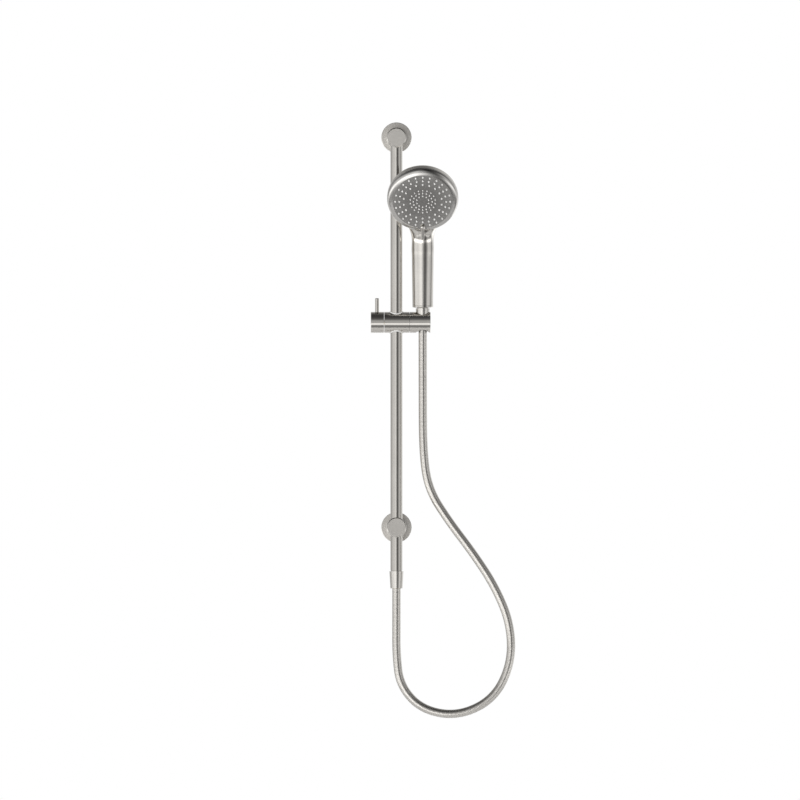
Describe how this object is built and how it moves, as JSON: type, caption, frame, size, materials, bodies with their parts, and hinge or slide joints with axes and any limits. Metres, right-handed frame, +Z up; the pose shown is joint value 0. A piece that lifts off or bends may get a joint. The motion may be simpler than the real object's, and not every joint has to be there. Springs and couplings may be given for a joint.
{
  "type": "hand shower on a slide rail",
  "caption": "Hand shower in a tilting holder on a wall-mounted, water-carrying slide rail with a locking slider and a flexible hose.",
  "frame": {"origin": "on the wall plane, at the centre of the lower bracket", "axes": "+X to the right as seen from the room, +Y into the wall, +Z up the rail"},
  "size_m": [0.2409, 0.1312, 0.9936],
  "materials": {
    "brushed_nickel": "brushed nickel plate",
    "cap_nickel": "fine brushed nickel plate",
    "nickel_on_plastic": "brushed nickel plate on plastic",
    "face_nickel": "satin nickel plate on plastic",
    "nozzle_rubber": "soft pale silicone",
    "hose_skin": "fine ribbed metallic skin",
    "seal_rubber": "matt black rubber",
    "grey_bush": "matt grey acetal",
    "inner_plastic": "plain natural plastic",
    "plain_brass": "bare turned brass",
    "steel_parts": "plain stainless steel"
  },
  "bodies": {
    "rail_set": {"rail_tube": "brushed_nickel", "rail_plug": "plain_brass", "plug_seal": "seal_rubber", "outlet_spigot": "plain_brass", "spigot_seal": "seal_rubber", "lower_rose": "brushed_nickel", "upper_rose": "brushed_nickel", "lower_front_cap": "cap_nickel", "upper_front_cap": "cap_nickel", "lower_grub_screw": "steel_parts", "upper_grub_screw": "steel_parts", "upper_bracket": "brushed_nickel", "wall_plate": "steel_parts", "stud_screw": "steel_parts", "lower_bracket": "brushed_nickel", "rail_seals": "seal_rubber", "check_valve": "inner_plastic", "lower_hose_nut": "brushed_nickel", "lower_hose_ferrule": "plain_brass", "lower_hose_washer": "seal_rubber", "hose_tube": "hose_skin"},
    "slider": {"slider_body": "brushed_nickel", "lower_rail_bush": "grey_bush", "upper_rail_bush": "grey_bush", "friction_washer": "inner_plastic", "pivot_bolt": "steel_parts", "spring_washer": "steel_parts", "clamp_pad": "inner_plastic"},
    "lock": {"lock_knob": "brushed_nickel", "lock_cap": "brushed_nickel", "lock_lever": "brushed_nickel", "clamp_spindle": "plain_brass", "spindle_clip": "steel_parts"},
    "holder": {"holder_body": "brushed_nickel", "holder_liner": "grey_bush"},
    "handset": {"handset_shell": "nickel_on_plastic", "handle_cover": "nickel_on_plastic", "inlet_spigot": "plain_brass", "water_tube": "inner_plastic", "valve_body": "inner_plastic", "valve_seal": "seal_rubber", "detent_ball": "steel_parts", "detent_spring": "steel_parts", "upper_hose_nut": "brushed_nickel", "upper_hose_ferrule": "plain_brass", "upper_hose_washer": "seal_rubber"},
    "spray_face": {"face_plate": "face_nickel", "nozzle_mat": "nozzle_rubber", "distributor": "inner_plastic", "centre_screw": "steel_parts", "selector_lever": "nickel_on_plastic"}
  },
  "joints": [
    {"name": "slider_height", "type": "slide", "parent": "rail_set", "child": "slider", "axis": [0, 0, 1], "range_m": [-0.305, 0.27], "deforming": ["hose_tube"]},
    {"name": "lock_turn", "type": "hinge", "parent": "slider", "child": "lock", "pos_m": [0, -0.048, 0.3418], "axis": [1, 0, 0], "range_deg": [0, 90]},
    {"name": "holder_tilt", "type": "hinge", "parent": "slider", "child": "holder", "pos_m": [0, -0.048, 0.3418], "axis": [1, 0, 0], "range_deg": [0, 25], "deforming": ["hose_tube"]},
    {"name": "handset_lift", "type": "slide", "parent": "holder", "child": "handset", "axis": [0, 0, 1], "range_m": [0, 0.06], "deforming": ["hose_tube"]},
    {"name": "spray_select", "type": "hinge", "parent": "handset", "child": "spray_face", "pos_m": [0.0438, -0.106, 0.5433], "axis": [0, -0.8721, -0.4894], "range_deg": [-30, 30]}
  ]
}
